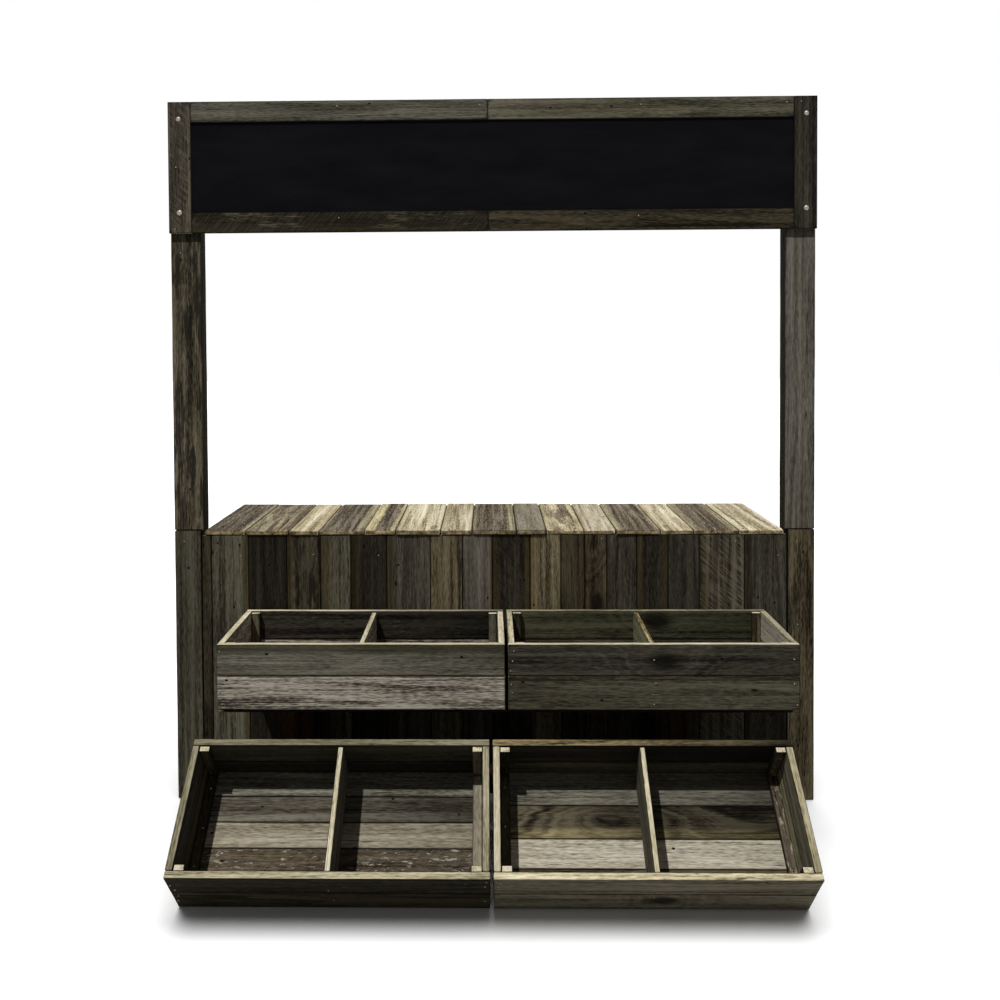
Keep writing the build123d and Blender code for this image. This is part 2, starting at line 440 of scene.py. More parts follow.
    def sawn(self, grain: Grain, colour: Socket) -> Socket:
        """Slanting marks of the saw, uneven and some 8 mm apart, where they haven't worn off.

        Args:
            grain: The grain that they cross.
            colour: The wood.

        Returns:
            The colour.
        """
        if not self.saw_share:
            return colour
        add = grain.add
        ahead, beside = (
            add("ShaderNodeVectorMath", {0: grain.place, 1: way}, operation="DOT_PRODUCT").outputs["Value"]
            for way in SAW_WAYS
        )
        turned = add("ShaderNodeCombineXYZ", {0: ahead, 1: beside})
        across, along = (1 / (size * MM) for size in SAW_MM)
        spaced = add("ShaderNodeMapping", {"Vector": turned, "Scale": (across, along, 1.0)})
        teeth = add("ShaderNodeTexNoise", {"Vector": spaced, "Scale": 1.0, "Detail": 0.0},
                    noise_dimensions="2D")
        marks = add("ShaderNodeMapRange", {
            "Value": teeth, "From Min": 0.49, "From Max": 0.62, "To Max": self.saw_share,
        })
        here = add("ShaderNodeMapRange", {"Value": grain.patch, "From Min": 0.36, "From Max": 0.52})
        share = add("ShaderNodeMath", {0: marks, 1: here}, operation="MULTIPLY")
        return add("ShaderNodeMix", {0: share, 6: colour, 7: linear(self.pale)}, data_type="RGBA").outputs[2]

    def flecked(self, grain: Grain, colour: Socket) -> Socket:
        """Pale flecks: worn fibres, scratches and old paint.

        Args:
            grain: The grain that they are drawn out along.
            colour: The wood.

        Returns:
            The colour.
        """
        if not self.fleck:
            return colour
        add = grain.add
        specks = grain.noise(SPECK_MM, 4, 0.75)
        thick = add("ShaderNodeMath", {0: grain.patch, 1: 0.4, 2: specks}, operation="MULTIPLY_ADD")
        limit = 0.88 - 0.16 * self.fleck_share
        share = add("ShaderNodeMapRange", {
            "Value": thick, "From Min": limit, "From Max": limit + 0.06, "To Max": 0.8,
        })
        return add("ShaderNodeMix", {0: share, 6: colour, 7: linear(self.fleck)}, data_type="RGBA").outputs[2]

    def dirt(self, grain: Grain, knot: Node) -> Node:
        """Dark marks: checks along the fibres, old nail holes, iron stains, knots and soiled edges.

        Args:
            grain: The grain, with the distance from the nearest rim.
            knot: Where the knots are.

        Returns:
            A node that gives the share of dirt.
        """
        add = grain.add
        line = add("ShaderNodeMath", {0: grain.noise(CHECK_MM, 1), 1: 0.5}, operation="SUBTRACT")
        line = add("ShaderNodeMath", {0: line}, operation="ABSOLUTE")
        check = add("ShaderNodeMapRange", {
            "Value": line, "From Min": 0.014, "From Max": 0.004, "To Max": 0.6,
        })
        split = add("ShaderNodeMapRange", {"Value": grain.patch, "From Min": 0.5, "From Max": 0.62})
        check = add("ShaderNodeMath", {0: check, 1: split}, operation="MULTIPLY")
        hole = grain.spots(HOLE_CELL_MM, HOLE_SHARE, HOLE_REACH_MM)
        # An iron stain runs along the fibres from a nail
        stain = grain.spots(STAIN_CELL_MM, self.stain_share, STAIN_REACH_MM)
        stain = add("ShaderNodeMath", {0: stain, 1: 0.45}, operation="MULTIPLY")
        begins, full = (far * MM for far in SOIL_MM)
        soil = add("ShaderNodeMapRange", {
            "Value": grain.rims[2], "From Min": begins, "From Max": full, "To Max": self.soil_share,
        })
        heart = add("ShaderNodeMath", {0: knot, 1: self.knot_dark}, operation="MULTIPLY")
        dark = check
        for mark in (hole, stain, soil, heart):
            dark = add("ShaderNodeMath", {0: dark, 1: mark}, operation="MAXIMUM")
        return dark


class Tone(Enum):
    """The timbers of the stall, each named for how it has weathered."""

    SILVER = TimberFinish("silvered_hardwood", "837d73", "655f55", "39342b", "5a4f3c", contrast=0.85)
    OLIVE = TimberFinish("olive_grey_hardwood", "736f5f", "5a5647", "2d2a23", "52482f")
    LICHEN = TimberFinish("lichen_grey_hardwood", "8b8677", "69655a", "363427", "5f5744", strip="403a27",
                          streak_share=0.24)
    ASH = TimberFinish("ash_grey_hardwood", "625d52", "474339", "211e1b", "453b2a", strip="3f3722")
    CHARCOAL = TimberFinish("charred_hardwood", "413c32", "2b2721", "100e0b", "352b1e", strip="413923")
    UMBER = TimberFinish("umber_hardwood", "5c5441", "423c2d", "18120d", "4a3e28", 0.4, ring_share=0.3,
                         contrast=1.15)
    TAN = TimberFinish("tan_hardwood", "82785f", "635b47", "30291d", "675a3e", 0.4, strip="5f5335")
    TARRED = TimberFinish("tar_stained_hardwood", "766e5d", "544e3e", "1a1813", "584d34", film="1f1b16",
                          film_share=0.4)
    PEELED = TimberFinish("peeling_stained_hardwood", "847d6a", "635c4b", "211e18", "5d5138", film="241f18",
                          film_share=0.72, saw_share=0.15, contrast=1.4)
    PALE = TimberFinish("pale_grey_hardwood", "c7bfb2", "948b7d", "35312b", "83765e", 0.2, strip="7d7159",
                        streak_share=0.34, contrast=1.35)
    CREAM = TimberFinish("sanded_cream_hardwood", "ebe3cf", "c2b799", "6a5c41", "b4a176", 0.4, strip="b8a981",
                         knot_share=0.06, saw_share=0.2, streak_share=0.2)
    DRIFT = TimberFinish("driftwood_grey_hardwood", "b0a893", "8a8271", "4e4738", "8f7f5e", streak_share=0.22,
                         contrast=0.85)
    PATINA = TimberFinish("patinated_paling", "867a6c", "574f41", "201913", "7a6b4a", strip="baae8c",
                          contrast=1.3, streak_share=0.2, fleck="b5aa93", fleck_share=0.3)
    EDGED = replace(PATINA, name="cream_edged_paling", strip="d4c79c")
    MOTTLED = TimberFinish("mottled_paling", "c9bf9e", "9b8f74", "3d3328", "9a8658", 0.4, film="5e5246",
                           film_share=0.35, strip="b0a480", contrast=1.3, streak_share=0.2)
    FLECKED = TimberFinish("paint_flecked_hardwood", "6b6150", "4b4338", "20190f", "54452d", fleck="aaa392",
                           fleck_share=0.6, saw_share=0.2)
    SCRATCHED = TimberFinish("scratched_dark_hardwood", "49443a", "343029", "171412", "40362b",
                             strip="4d4835", fleck="8d8879", fleck_share=0.14, contrast=1.4)
    SAWN = TimberFinish("band_sawn_hardwood", "807967", "4f493b", "24211d", "52472f", saw_share=0.8,
                        stipple_share=0.14)
    CINDER = TimberFinish("band_sawn_charred_hardwood", "514b3f", "312d26", "14110d", "3a3022", saw_share=0.4)
    MOSS = TimberFinish("green_stained_hardwood", "64634d", "4a4937", "212018", "4b4530", saw_share=0.15,
                        ring_share=0.1)
    BLEACHED = TimberFinish("bleached_hardwood", "d0c9b8", "aaa392", "5a5243", "9c8d6c", 0.2,
                            streak_share=0.25, contrast=0.8)
    FIGURED = TimberFinish("figured_hardwood", "736b57", "534c3c", "1b1711", "5d5038", 0.4, strip="bfaf7f",
                           knot_drawn=3.6, knot_dark=0.35, stipple_share=0.14, ring_share=0.45, contrast=1.2)
    # Red-brown wood, made darker than the wood itself as painted shade for the bench frame under the crates
    RED = TimberFinish("red_brown_hardwood", "493421", "332115", "100b06", "402818", 0.4)
    STUD = TimberFinish("sawn_frame_hardwood", "8d8168", "665d48", "2e271d", "75643f", 0.4, saw_share=0.2)
    RIM = TimberFinish("fresh_sawn_edge", "f3ebd2", "d3c9ab", "756a4c", "c2ae80", strip="d9cfb0",
                       knot_share=0.02, stain_share=0.1, soil_share=0.0, streak_share=0.34, contrast=0.7)
    WORN = TimberFinish("weathered_sawn_edge", "ccc3a8", "a59c80", "4f4932", "968758", knot_share=0.02,
                        soil_share=0.0, streak_share=0.34, contrast=0.8)
    END = TimberFinish("sawn_end_grain", "aa9a76", "837352", "332b1e", "826e42", knot_share=0.0,
                       stain_share=0.1, soil_share=0.0)

    def material(self) -> bpy.types.Material:
        """The finish as a Blender material."""
        return self.value.material()


@dataclass(frozen=True)
class ChalkboardFinish:
    """Matt black blackboard paint on plywood: even and dry, with a faint haze of rubbed chalk.

    swipe_mm is the size of a swipe of the haze along X, Y and Z, and stipple_mm that of the roller's stipple.
    """

    name: str = "blackboard_paint"
    paint: str = "0b0b0e"
    haze: str = "151518"
    swipe_mm: tuple[float, float, float] = (250.0, 625.0, 69.444)
    stipple_mm: float = 3.846

    def material(self) -> bpy.types.Material:
        """Build the paint as a node material.

        Returns:
            The material.
        """
        made, add = empty_material(self.name)
        place = add("ShaderNodeTexCoord").outputs["Object"]
        scale = [1 / (size * MM) for size in self.swipe_mm]
        swipes = add("ShaderNodeMapping", {"Vector": place, "Scale": scale})
        rubbed = add("ShaderNodeTexNoise", {"Vector": swipes, "Scale": 1.0, "Detail": 6.0, "Roughness": 0.65})
        stipple = add("ShaderNodeTexNoise", {
            "Vector": place, "Scale": 1 / (self.stipple_mm * MM), "Detail": 2.0,
        })
        share = add("ShaderNodeMapRange", {"Value": rubbed, "From Min": 0.4, "From Max": 0.75})
        colour = add("ShaderNodeMix", {0: share, 6: linear(self.paint), 7: linear(self.haze)},
                     data_type="RGBA")
        bump = add("ShaderNodeBump", {"Strength": 0.25, "Distance": 0.3 * MM, "Height": stipple})
        shader = add("ShaderNodeBsdfPrincipled", {
            "Base Color": colour.outputs[2], "Roughness": 0.8, "Specular IOR Level": 0.04, "Normal": bump,
        })
        add("ShaderNodeOutputMaterial", {"Surface": shader})
        return made


@dataclass(frozen=True)
class SteelFinish:
    """Zinc plated steel gone dull: grey metal with a soft spangle and a little brown bloom."""

    name: str
    bright: str
    dull: str
    roughness: float
    bloom_mm: float = 3.125

    def material(self) -> bpy.types.Material:
        """Build the metal as a node material.

        Returns:
            The material.
        """
        made, add = empty_material(self.name)
        place = add("ShaderNodeTexCoord").outputs["Object"]
        bloom = add("ShaderNodeTexNoise", {"Vector": place, "Scale": 1 / (self.bloom_mm * MM), "Detail": 3.0})
        colour = add("ShaderNodeMix", {0: bloom, 6: linear(self.bright), 7: linear(self.dull)},
                     data_type="RGBA")
        shader = add("ShaderNodeBsdfPrincipled", {
            "Base Color": colour.outputs[2], "Metallic": 0.85, "Roughness": self.roughness,
        })
        add("ShaderNodeOutputMaterial", {"Surface": shader})
        return made


class Side(Enum):
    """The kinds of face along a board."""

    FACE = 0
    EDGE = 1


@dataclass(frozen=True)
class Dress:
    """The finishes of one board: its wide faces, its narrow edges and its cut ends.

    shade makes the board darker or paler than its finish; on a few crate boards it is also painted light,
    paler than the timber where the lamps leave a face dim. strips_mm are the widths of the strips along its
    left or lower edge and its right or upper edge. knot is the place of a large knot, in shares of the length
    and the width from the middle. fade is how much paler it grows from its middle to its right or upper end.
    """

    face: Tone
    edge: Tone
    end: Tone
    shade: float = 1.0
    strips_mm: Pair = (0.0, 0.0)
    knot: Pair | None = None
    fade: float = 0.0


def plain(tone: Tone, shade: float = 1.0, strips_mm: Pair = (0.0, 0.0), knot: Pair | None = None,
          fade: float = 0.0) -> Dress:
    """A board whose edges have weathered like its faces."""
    return Dress(tone, tone, Tone.END, shade, strips_mm, knot, fade)


def rimmed(tone: Tone, rim: Tone = Tone.RIM, shade: float = 1.0, strips_mm: Pair = (0.0, 0.0),
           knot: Pair | None = None, fade: float = 0.0) -> Dress:
    """A crate board, whose edges and ends were cut after its faces had weathered."""
    return Dress(tone, rim, rim, shade, strips_mm, knot, fade)


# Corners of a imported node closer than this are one
WELD_MM = 0.01


@dataclass(frozen=True)
class Board:
    """One piece of timber as the frame places it: its middle, its own axes and its size in metres."""

    centre: Vector
    axes: tuple[Vector, Vector, Vector]
    size: tuple[float, float, float]

    def turned(self, facing: Vector | None) -> "Board":
        """The same board with its third axis on the side that is seen.

        Args:
            facing: The side that is seen, or None where either will do.

        Returns:
            This board, or one turned over.
        """
        if facing is None or self.axes[2] @ facing >= 0:
            return self
        return Board(self.centre, (self.axes[0], -self.axes[1], -self.axes[2]), self.size)

    def rising(self) -> int:
        """1 where the second axis points to the right or up, -1 where it points the other way."""
        return 1 if max(self.axes[1], key=abs) > 0 else -1

    def point(self, along: float, across: float) -> Vector:
        """A place on the seen face, in shares of the length and the width from the middle."""
        return (self.centre + self.axes[0] * (along * self.size[0]) + self.axes[1] * (across * self.size[1])
                + self.axes[2] * (self.size[2] / 2))


def read_boards(node: str) -> list[Board]:
    """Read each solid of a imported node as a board.

    Args:
        node: The CAD node's name.

    Returns:
        The boards, in the order of their place along X, then Y, then Z.
    """
    mesh = frame["nodes"][node].data
    corners = np.array([v.co for v in mesh.vertices])
    keys, merged = np.unique(np.round(corners / (WELD_MM * MM)).astype(np.int64), axis=0, return_inverse=True)
    merged = merged.ravel()
    points = np.zeros((len(keys), 3))
    points[merged] = corners
    owner = np.arange(len(keys))
    triangles = [merged[list(p.vertices)] for p in mesh.polygons]
    changed = True
    while changed:
        before = owner.copy()
        for triangle in triangles:
            owner[triangle] = owner[triangle].min()
        changed = bool((owner != before).any())
    boards = []
    for island in np.unique(owner):
        normals: list[np.ndarray] = []
        for triangle in triangles:
            if owner[triangle[0]] != island:
                continue
            a, b, c = points[triangle]
            normal = np.cross(b - a, c - a)
            normal /= np.linalg.norm(normal)
            if all(abs(normal @ n) < 0.5 for n in normals):
                normals.append(normal)
        boards.append(board_from(points[owner == island], normals))
    return sorted(boards, key=lambda b: tuple(round(v, 3) for v in b.centre))


def board_from(corners: np.ndarray, normals: list[np.ndarray]) -> Board:
    """Make a board of a block's corners and its three face directions, longest first.

    Args:
        corners: The block's corners in metres.
        normals: Three directions at right angles.

    Returns:
        The board, with right-handed axes.
    """
    extents = []
    for normal in normals:
        sign = 1 if normal[np.argmax(np.abs(normal))] > 0 else -1
        reach = corners @ (normal * sign)
        extents.append((reach.max() - reach.min(), tuple(normal * sign)))
    extents.sort(reverse=True)
    along, _, through = (Vector(direction) for _, direction in extents)
    axes = (along, through.cross(along), through)
    return Board(Vector(corners.mean(axis=0)), axes, tuple(size for size, _ in extents))


@dataclass(frozen=True)
class Wear:
    """How far weather and rough handling have taken a board from a square block, in millimetres.

    close_mm is how far a board reaches into the joint on each side of it, and butt_mm into those at its ends.
    chip_mm is the most that has broken off the corners at its ends.
    """

    corner_mm: float = 1.6
    wander_mm: float = 1.0
    end_mm: float = 2.0
    cup_mm: float = 0.5
    groove_mm: float = 0.3
    back_mm: float = 0.6
    close_mm: float = 0.0
    butt_mm: float = 0.0
    chip_mm: float = 0.0
    pitch_mm: float = 20.0
    column_mm: float = 6.0


# Lengths in metres of the waves in a board's crooked edges and of the ridges of its grain
EDGE_WAVES = (0.9, 0.31, 0.13)
RIDGE_WAVES = (0.011, 0.019, 0.037)

# Worn corners stay under a share of half the thickness, and the edges' wander under one of half the width
CORNER_SHARE = 0.3
WANDER_SHARE = 0.05

# Length of the log that a board is somewhere along, how far to a side of it the log's heart is in shares of
# half its width, and how far behind it, in metres
LOG_M, HEART_ASIDE, HEART_BEHIND_M = 40, 0.9, (0.015, 0.06)

# A board without strips or a large knot has them this far off, in metres
NO_STRIP = 1.0
NO_KNOT = (9.0, 9.0, 0.0)

# Faces that meet at more than this stay sharp
SHARP_DEG = 38


def waves(places: np.ndarray, lengths: tuple[float, ...], chance: np.random.Generator) -> np.ndarray:
    """Smooth random line between -1 and 1.

    Args:
        places: Where along the line.
        lengths: Lengths of the waves that make it, in metres.
        chance: Gives each wave its place and strength.

    Returns:
        The line's value at each place.
    """
    total = np.zeros_like(places)
    for length in lengths:
        total += np.sin(2 * math.pi * (places / length + chance.random())) * chance.uniform(0.5, 1.0)
    return total / len(lengths)


class TimberMesh:
    """Collects the worn boards of one piece into a single mesh with the attributes that finishes read.

    grain is the place in the log, edges the distances beyond the two strips and from the nearest rim, and eye
    the place from the board's own knot, all in metres. lot is the board's shade.
    """

    def __init__(self, name: str, seed: int) -> None:
        """Start an empty mesh with its own fixed chance.

        Args:
            name: The piece's name.
            seed: Fixes the chance of its wear.
        """
        self.name = name
        self.chance = np.random.default_rng(seed)
        self.chips = np.random.default_rng(seed + 1)
        self.points: list[np.ndarray] = []
        self.values: dict[str, list[np.ndarray]] = {name: [] for name in ATTRIBUTES}
        self.faces: list[list[int]] = []
        self.slots: list[int] = []
        self.tones: list[Tone] = []
        self.count = 0

    def slot_of(self, tone: Tone) -> int:
        """The material slot of a finish, added when it is new.

        Args:
            tone: The finish.

        Returns:
            The slot's index in the mesh.
        """
        if tone not in self.tones:
            self.tones.append(tone)
        return self.tones.index(tone)

    def outline(self, half_width: float, half_depth: float, corner: float,
                column: float) -> tuple[np.ndarray, list[Side]]:
        """The board's section as a closed run of points, counted round from the seen face.

        Args:
            half_width: Half the board's width.
            half_depth: Half its thickness.
            corner: Radius of the worn corners.
            column: Widest step between points on a face.

        Returns:
            Points across and through the board, and the kind of face after each point.
        """
        columns = 2 * max(2, round(half_width / column))
        rows = 2 * max(1, round(half_depth / column))
        inner_width, inner_depth = half_width - corner, half_depth - corner
        across = np.linspace(-inner_width, inner_width, columns + 1)
        through = np.linspace(inner_depth, -inner_depth, rows + 1)
        turn = np.radians([30.0, 60.0])
        lean, lift = corner * np.sin(turn), corner * np.cos(turn)
        runs = [
            (np.column_stack([across, np.full(columns + 1, half_depth)]), Side.FACE),
            (np.column_stack([inner_width + lean, inner_depth + lift]), Side.FACE),
            (np.column_stack([np.full(rows + 1, half_width), through]), Side.EDGE),
            (np.column_stack([inner_width + lift, -inner_depth - lean]), Side.FACE),
            (np.column_stack([across[::-1], np.full(columns + 1, -half_depth)]), Side.FACE),
            (np.column_stack([-inner_width - lean, -inner_depth - lift]), Side.FACE),
            (np.column_stack([np.full(rows + 1, -half_width), through[::-1]]), Side.EDGE),
            (np.column_stack([-inner_width - lift, inner_depth + lean]), Side.FACE),
        ]
        kinds = []
        for run, kind in runs:
            kinds += [kind] * (len(run) - 1) + [Side.FACE]
        return np.vstack([run for run, _ in runs]), kinds

    def add(self, board: Board, dress: Dress, wear: Wear) -> None:
        """Loft one worn board inside its block and its joints.

        Args:
            board: Where it is and how large.
            dress: Its finishes.
            wear: How worn it is.
        """
        chance = self.chance
        half = np.array(board.size) / 2
        half[:2] += (wear.butt_mm * MM, wear.close_mm * MM)
        corner = min(wear.corner_mm * MM, CORNER_SHARE * half[2])
        section, kinds = self.outline(half[1], half[2], corner, wear.column_mm * MM)
        steps = max(4, round(2 * half[0] / (wear.pitch_mm * MM)))
        low = -half[0] + chance.uniform(0, wear.end_mm) * MM
        high = half[0] - chance.uniform(0, wear.end_mm) * MM
        along = np.concatenate([[low], np.linspace(low + corner, high - corner, steps + 1), [high]])
        across = np.tile(section[:, 0], (len(along), 1))
        through = np.tile(section[:, 1], (len(along), 1))
        places = np.tile(along[:, None], (1, len(section)))
        share = across / half[1]

        # Long edges wander inwards, only near the seen side where the joint is closed behind it
        limit = min(wear.wander_mm * MM, WANDER_SHARE * half[1])
        depth = np.clip((through / half[2] - 0.2) / 0.8, 0, 1) if wear.close_mm else 1.0
        for sign in (1, -1):
            narrow = limit * (0.5 + 0.5 * waves(along, EDGE_WAVES, chance))[:, None]
            across = np.where(share * sign > 0, across - share * narrow * depth, across)

        # The face cups, and the grain stands up in low ridges
        sunk = chance.uniform(0, wear.back_mm) * MM + chance.uniform(0, wear.cup_mm) * MM * (1 - share ** 2)
        ridge = waves(across + 0.01 * np.sin(places * 3), RIDGE_WAVES, chance)
        ridge = wear.groove_mm * MM * (1 - ridge) / 2
        seen, hidden = (np.clip(sign * through / half[2], 0, 1) for sign in (1, -1))
        through = through - seen * (sunk + ridge) + hidden * ridge

        # Cut ends: slightly out of square, with their arris worn off. A chip takes the outer two fifths of
        # half the width, and reaches into the next section
        for end, sign in ((0, 1), (-1, -1)):
            for side in (1, -1):
                outer = np.clip(2.5 * share[end] * side - 1.5, 0, 1)
                broken = self.chips.uniform(0, wear.chip_mm) * MM * outer
                across[end] -= side * broken
                across[end + sign] -= side * 0.7 * broken
            lean = chance.uniform(-0.5, 0.5) * wear.end_mm * MM
            across[end] *= 1 - corner / half[1]
            through[end] *= 1 - corner / half[2]
            places[end] = places[end] + sign * (abs(lean) + lean * share[end]) / 2
        self.store(board, dress, np.stack([places, across, through], axis=-1), kinds, half)

    def store(self, board: Board, dress: Dress, grid: np.ndarray, kinds: list[Side],
              half: np.ndarray) -> None:
        """Keep a lofted board's points, attributes and faces.

        Args:
            board: The board.
            dress: Its finishes.
            grid: Places along, across and through the board, one row for each section.
            kinds: The kind of face after each point of a section.
            half: Half the board's sizes.
        """
        chance = self.chance
        rows, columns, _ = grid.shape
        local = grid.reshape(-1, 3)
        self.points.append(np.array(board.centre) + local @ np.array([list(axis) for axis in board.axes]))
        heart = [chance.uniform(0, LOG_M), chance.uniform(-HEART_ASIDE, HEART_ASIDE) * half[1],
                 chance.uniform(*HEART_BEHIND_M)]
        self.values["grain"].append(local + heart)
        rise = board.rising()
        from_rims = [half[1] + rise * local[:, 1], half[1] - rise * local[:, 1]]
        beyond = [far - width * MM if width else far + NO_STRIP
                  for far, width in zip(from_rims, dress.strips_mm)]
        nearest = np.minimum(np.minimum(*from_rims), half[0] - np.abs(local[:, 0]))
        self.values["edges"].append(np.column_stack([*beyond, nearest]))
        shade = dress.shade * (1 + dress.fade * local[:, :1] / half[0])
        self.values["lot"].append(np.tile(shade, (1, 3)))
        eye = NO_KNOT
        if dress.knot:
            eye = (dress.knot[0] * board.size[0], rise * dress.knot[1] * board.size[1], 0)
        self.values["eye"].append(local - eye)
        slots = {Side.FACE: self.slot_of(dress.face), Side.EDGE: self.slot_of(dress.edge)}
        first = self.count
        for i in range(first, first + (rows - 1) * columns, columns):
            for j in range(columns):
                k = (j + 1) % columns
                self.faces.append([i + j, i + columns + j, i + columns + k, i + k])
                self.slots.append(slots[kinds[j]])
        last = first + (rows - 1) * columns
        for cap in (list(range(first, first + columns)), list(range(last, last + columns))[::-1]):
            self.faces.append(cap)
            self.slots.append(self.slot_of(dress.end))
        self.count += len(local)

    def finish(self, slot: str, node: str) -> None:
        """Make the object and set it in place of its CAD node.

        Args:
            slot: The record's material slot; not used.
            node: The CAD node that it stands for.
        """
        mesh = bpy.data.meshes.new(self.name)
        inside = np.clip(np.vstack(self.points), *(np.array(corner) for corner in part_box(node)))
        mesh.from_pydata(inside.tolist(), [], self.faces)
        for name, rows in self.values.items():
            values = mesh.attributes.new(name, "FLOAT_VECTOR", "POINT")
            values.data.foreach_set("vector", np.vstack(rows).astype(np.float32).ravel())
        for tone in self.tones:
            mesh.materials.append(tone.material())
        mesh.polygons.foreach_set("material_index", self.slots)
        mesh.polygons.foreach_set("use_smooth", [True] * len(self.faces))
        mesh.set_sharp_from_angle(angle=math.radians(SHARP_DEG))
        mesh.update()
        piece = bpy.data.objects.new(self.name, mesh)
        bpy.context.scene.collection.objects.link(piece)
        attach(piece, BODY)
        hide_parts(node)
        LOG.info("%s: %d faces", self.name, len(self.faces))


def dress_node(node: str, slot: str, dresses: Sequence[Dress], wear: Wear, seed: int,
               facing: Vector | None = None, order: Callable[[Board], object] | None = None) -> list[Board]:
    """Build the worn boards of one CAD node as one piece.

    Args:
        node: The CAD node.
        slot: The record's material slot.
        dresses: The finish of each board, repeated if there are fewer than boards.
        wear: How worn they are.
        seed: Fixes the chance of this piece.
        facing: The side that is seen, where that matters.
        order: Sort key for the boards, where X, Y, Z isn't the order of the finishes.

    Returns:
        The boards, in that order.
    """
    boards = [board.turned(facing) for board in read_boards(node)]
    if order:
        boards.sort(key=order)
    timber = TimberMesh(f"{node}_timber", seed)
    for i, board in enumerate(boards):
        timber.add(board, dresses[i % len(dresses)], wear)
    timber.finish(slot, node)
    return boards


class HeadShape(Enum):
    """The heads of the fixings."""

    FLAT = "flat"
    DOME = "dome"


@dataclass
class FixingHeads:
    """Heads of nails or bolts set on the timber by Geometry Nodes, one for each marked place.

    Half of a head's rise is in the timber. A nail strays from its place by up to stray_mm, and is set sunk_mm
    below the block's face, near the worn one. size_range is the least and the most share of its full size.
    """

    name: str
    shape: HeadShape
    radius_mm: float
    rise_mm: float
    finish: SteelFinish
    seed: int
    stray_mm: float = 6.0
    sunk_mm: float = 0.6
    size_range: Pair = (0.8, 1.1)
    places: list[tuple[Vector, Vector]] = field(default_factory=list)

    def __post_init__(self) -> None:
        """Start the fixed chance of the nails' places."""
        self.chance = np.random.default_rng(self.seed)

    def mark(self, place: Vector, facing: Vector) -> None:
        """Note one fixing, on the timber's surface and facing out of it."""
        self.places.append((place, facing))

    def strew(self, board: Board, along: float, across: float, share: float) -> None:
        """Drive a nail near a place on a board's seen face, as often as not a little off it.

        Args:
            board: The board.
            along: Share of its length from the middle.
            across: Share of its width from the middle.
            share: How many of such nails still show.
        """
        off = self.chance.uniform(-1, 1, 2) * self.stray_mm * MM
        if self.chance.random() < share:
            self.mark(board.point(along, across) + board.axes[0] * off[0] + board.axes[1] * off[1] * 0.5
                      - board.axes[2] * self.sunk_mm * MM, board.axes[2])

    def tree(self) -> bpy.types.NodeTree:
        """Build the Geometry Nodes tree that sets a head on each point.

        Returns:
            The tree, with sockets for size, seed and finish.
        """
        tree = bpy.data.node_groups.new(f"{self.name}_heads", "GeometryNodeTree")
        sockets = tree.interface
        sockets.new_socket("Geometry", in_out="INPUT", socket_type="NodeSocketGeometry")
        for label in ("Head radius", "Head rise"):
            sockets.new_socket(label, in_out="INPUT", socket_type="NodeSocketFloat")
        sockets.new_socket("Seed", in_out="INPUT", socket_type="NodeSocketInt")
        sockets.new_socket("Finish", in_out="INPUT", socket_type="NodeSocketMaterial")
        sockets.new_socket("Geometry", in_out="OUTPUT", socket_type="NodeSocketGeometry")
        add = partial(add_node, tree)
        given = add("NodeGroupInput").outputs
        if self.shape is HeadShape.DOME:
            head = add("GeometryNodeMeshUVSphere", {"Segments": 20, "Rings": 12, "Radius": 1.0})
        else:
            head = add("GeometryNodeMeshCone", {
                "Vertices": 10, "Radius Top": 0.82, "Radius Bottom": 1.0, "Depth": 1.0,
            })
        size = add("ShaderNodeCombineXYZ", {
            0: given["Head radius"], 1: given["Head radius"], 2: given["Head rise"],
        })
        shaped = add("GeometryNodeTransform", {"Geometry": head, "Scale": size.outputs[0]})
        facing = add("GeometryNodeInputNamedAttribute", {"Name": "facing"}, data_type="FLOAT_VECTOR")
        turn = add("FunctionNodeAlignRotationToVector", {"Vector": facing}, axis="Z")
        least, most = self.size_range
        scale = add("FunctionNodeRandomValue", {"Seed": given["Seed"], 2: least, 3: most})
        heads = add("GeometryNodeInstanceOnPoints", {
            "Points": given["Geometry"], "Instance": shaped, "Rotation": turn, "Scale": scale.outputs[1],
        })
        real = add("GeometryNodeRealizeInstances", {"Geometry": heads})
        smooth = add("GeometryNodeSetShadeSmooth", {0: real})
        dressed = add("GeometryNodeSetMaterial", {"Geometry": smooth, "Material": given["Finish"]})
        add("NodeGroupOutput", {0: dressed})
        return tree

    def build(self) -> None:
        """Run the tree on the marked places and keep the result as a plain mesh."""
        points = bpy.data.meshes.new(f"{self.name}_points")
        points.from_pydata([tuple(place) for place, _ in self.places], [], [])
        facing = points.attributes.new("facing", "FLOAT_VECTOR", "POINT")
        facing.data.foreach_set("vector", np.array([list(way) for _, way in self.places], np.float32).ravel())
        carrier = bpy.data.objects.new(f"{self.name}_carrier", points)
        bpy.context.scene.collection.objects.link(carrier)
        tree = self.tree()
        modifier = carrier.modifiers.new("heads", "NODES")
        modifier.node_group = tree
        values = {"Head radius": self.radius_mm * MM, "Head rise": self.rise_mm * MM,
                  "Seed": self.seed, "Finish": self.finish.material()}
        for socket in tree.interface.items_tree:
            if socket.in_out == "INPUT" and socket.name in values:
                modifier[socket.identifier] = values[socket.name]
        mesh = bpy.data.meshes.new_from_object(carrier.evaluated_get(bpy.context.evaluated_depsgraph_get()))
        bpy.data.objects.remove(carrier)
        piece = bpy.data.objects.new(self.name, mesh)
        bpy.context.scene.collection.objects.link(piece)
        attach(piece, BODY)
        LOG.info("%s: %d heads", self.name, len(self.places))


